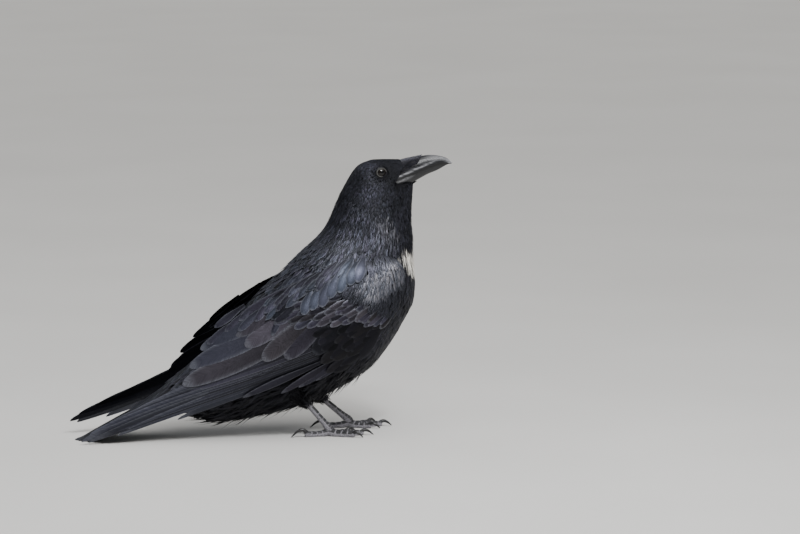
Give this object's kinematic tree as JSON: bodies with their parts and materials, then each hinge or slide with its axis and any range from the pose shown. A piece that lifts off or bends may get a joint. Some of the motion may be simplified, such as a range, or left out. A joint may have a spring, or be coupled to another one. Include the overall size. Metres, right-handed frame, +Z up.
{
  "type": "raven",
  "caption": "Still, life-size model of a black raven standing on both feet with its head raised, wings folded and tail laid on the floor.",
  "frame": {"origin": "on the floor, at the middle of the bottom face of the bird's bounding box", "axes": "+X towards the bill, +Y to the bird's left, +Z up"},
  "size_m": [0.466, 0.1384, 0.3391],
  "materials": {
    "plumage": "glossy black body feathers with a blue-violet sheen",
    "flight_feathers": "slate-black wing and tail feathers with a violet-blue sheen",
    "bill": "smooth black horn with fine lengthwise scratches",
    "eye": "wet, near-black brown eye",
    "leg_scales": "grey-black scutes with paler sides",
    "claws": "smooth black horn"
  },
  "bodies": {
    "root": {"bill_lower": "bill", "bill_upper": "bill", "claw_left_1": "claws", "claw_left_2": "claws", "claw_left_3": "claws", "claw_left_4": "claws", "claw_right_1": "claws", "claw_right_2": "claws", "claw_right_3": "claws", "claw_right_4": "claws", "eye_left": "eye", "eye_right": "eye", "head": "plumage", "nasal_bristles": "plumage", "neck": "plumage", "rump": "plumage", "tail": "flight_feathers", "tarsus_left": "leg_scales", "tarsus_right": "leg_scales", "thigh_left": "plumage", "thigh_right": "plumage", "toe_left_1": "leg_scales", "toe_left_2": "leg_scales", "toe_left_3": "leg_scales", "toe_left_4": "leg_scales", "toe_right_1": "leg_scales", "toe_right_2": "leg_scales", "toe_right_3": "leg_scales", "toe_right_4": "leg_scales", "trunk": "plumage", "wing_left_coverts": "flight_feathers", "wing_left_primaries": "flight_feathers", "wing_left_secondaries": "flight_feathers", "wing_right_coverts": "flight_feathers", "wing_right_primaries": "flight_feathers", "wing_right_secondaries": "flight_feathers"}
  },
  "joints": []
}
